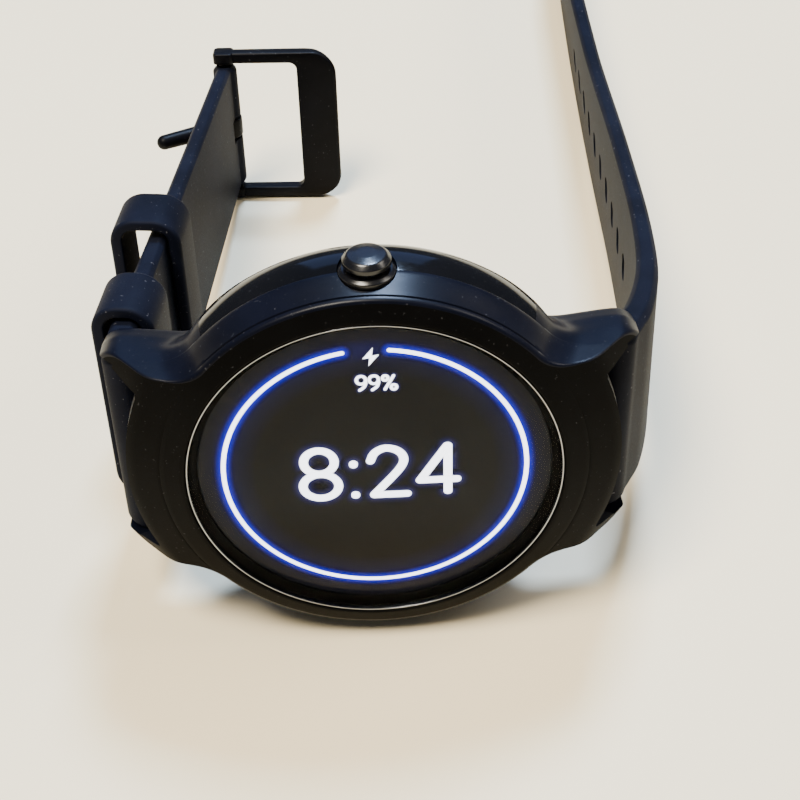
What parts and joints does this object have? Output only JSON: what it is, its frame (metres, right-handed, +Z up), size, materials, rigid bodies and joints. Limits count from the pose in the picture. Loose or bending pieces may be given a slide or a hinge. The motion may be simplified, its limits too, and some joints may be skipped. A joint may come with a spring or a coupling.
{
  "type": "smartwatch",
  "caption": "Round smartwatch with a push crown, a domed sensor back and a two-piece silicone strap with buckle, keepers and quick-release bars, standing on its edge.",
  "frame": {"origin": "centre of the footprint, on the surface that the watch stands on: its 9 o'clock wall, the buckle's lower corner and the lower edge of the strap's end", "axes": "+Y from the glass to the wrist side and along both straps, +Z up, from the 9 o'clock wall towards the crown, +X from the buckle strap (12 o'clock) to the strap with holes (6 o'clock); the watch itself leans back 9.8 degrees about X"},
  "size_m": [0.0606, 0.121, 0.0447],
  "materials": {
    "case_shell": "satin",
    "black_matte": "matte",
    "cover_glass": "gloss",
    "screen": "gloss",
    "silicone": "matte",
    "seal": "matte",
    "steel": "brushed",
    "black_steel": "satin",
    "gold_contact": "satin",
    "circuit_board": "satin",
    "battery_wrap": "satin",
    "flex_film": "satin",
    "chassis_plastic": "matte",
    "magnet_plating": "polished"
  },
  "bodies": {
    "case": {"case_body": "case_shell", "cover_glass": "cover_glass", "display_panel": "screen", "display_gasket": "seal", "mid_frame": "chassis_plastic", "display_flex": "flex_film", "main_board": "circuit_board", "shield_can_processor": "steel", "shield_can_radio": "steel", "battery": "battery_wrap", "vibration_motor": "steel", "microphone": "steel", "antenna": "flex_film", "case_back": "black_matte", "back_gasket": "seal", "sensor_board": "circuit_board", "sensor_window": "cover_glass", "charging_contact_1": "gold_contact", "charging_contact_2": "gold_contact", "charging_contact_3": "gold_contact", "charging_contact_4": "gold_contact", "dock_magnet_1": "magnet_plating", "dock_magnet_2": "magnet_plating", "case_back_screw_1": "steel", "case_back_screw_2": "steel", "case_back_screw_3": "steel", "case_back_screw_4": "steel", "crown_collar": "black_steel", "crown_o_ring": "seal", "crown_spring": "steel", "side_switch": "chassis_plastic"},
    "crown": {"crown_cap": "case_shell", "crown_stem": "steel", "crown_clip": "steel"},
    "switch": {"switch_plunger": "steel"},
    "strap_12": {"strap_buckle_side": "silicone", "spring_bar_tube_12": "steel", "spring_bar_fixed_pin_12": "steel", "spring_bar_spring_12": "steel"},
    "release_12": {"quick_release_pin_12": "steel"},
    "strap_6": {"strap_hole_side": "silicone", "spring_bar_tube_6": "steel", "spring_bar_fixed_pin_6": "steel", "spring_bar_spring_6": "steel"},
    "release_6": {"quick_release_pin_6": "steel"},
    "buckle": {"buckle_frame": "black_steel", "buckle_bar": "steel"},
    "tongue": {"buckle_tongue": "black_steel"},
    "keeper_near": {"keeper_near": "silicone"},
    "keeper_far": {"keeper_far": "silicone"}
  },
  "joints": [
    {"name": "crown_press", "type": "slide", "parent": "case", "child": "crown", "axis": [0, -0.1705, -0.9854], "range_m": [0, 0.0004], "stiffness_N_per_m": 2500, "springref_m": -0.0002, "deforming": ["crown_spring"]},
    {"name": "switch_press", "type": "slide", "parent": "case", "child": "switch", "axis": [0, -0.1705, -0.9854], "range_m": [0, 0.0004]},
    {"name": "strap_12_swing", "type": "hinge", "parent": "case", "child": "strap_12", "pos_m": [-0.02661, -0.04948, 0.02123], "axis": [0, 0.1705, 0.9854], "range_deg": [-4, 55]},
    {"name": "strap_6_swing", "type": "hinge", "parent": "case", "child": "strap_6", "pos_m": [0.02099, -0.04948, 0.02123], "axis": [0, -0.1705, -0.9854], "range_deg": [-8, 55]},
    {"name": "release_12_slide", "type": "slide", "parent": "strap_12", "child": "release_12", "axis": [0, -0.1705, -0.9854], "range_m": [0, 0.001], "stiffness_N_per_m": 1500, "springref_m": -0.0005, "deforming": ["spring_bar_spring_12"]},
    {"name": "release_6_slide", "type": "slide", "parent": "strap_6", "child": "release_6", "axis": [0, -0.1705, -0.9854], "range_m": [0, 0.001], "stiffness_N_per_m": 1500, "springref_m": -0.0005, "deforming": ["spring_bar_spring_6"]},
    {"name": "buckle_swing", "type": "hinge", "parent": "strap_12", "child": "buckle", "pos_m": [-0.01986, 0.0123, 0.01054], "axis": [0, 0.1705, 0.9854], "range_deg": [-17, 82]},
    {"name": "tongue_swing", "type": "hinge", "parent": "strap_12", "child": "tongue", "pos_m": [-0.01986, 0.0123, 0.01054], "axis": [0, -0.1705, -0.9854], "range_deg": [-10, 102]},
    {"name": "keeper_near_slide", "type": "slide", "parent": "strap_12", "child": "keeper_near", "axis": [0.1189, 0.9784, -0.1693], "range_m": [0, 0.0075]},
    {"name": "keeper_far_slide", "type": "slide", "parent": "strap_12", "child": "keeper_far", "axis": [0.1189, 0.9784, -0.1693], "range_m": [0, 0.02]}
  ],
  "couplings": [
    {"joint": "switch_press", "follows": "crown_press", "ratio": 1}
  ]
}
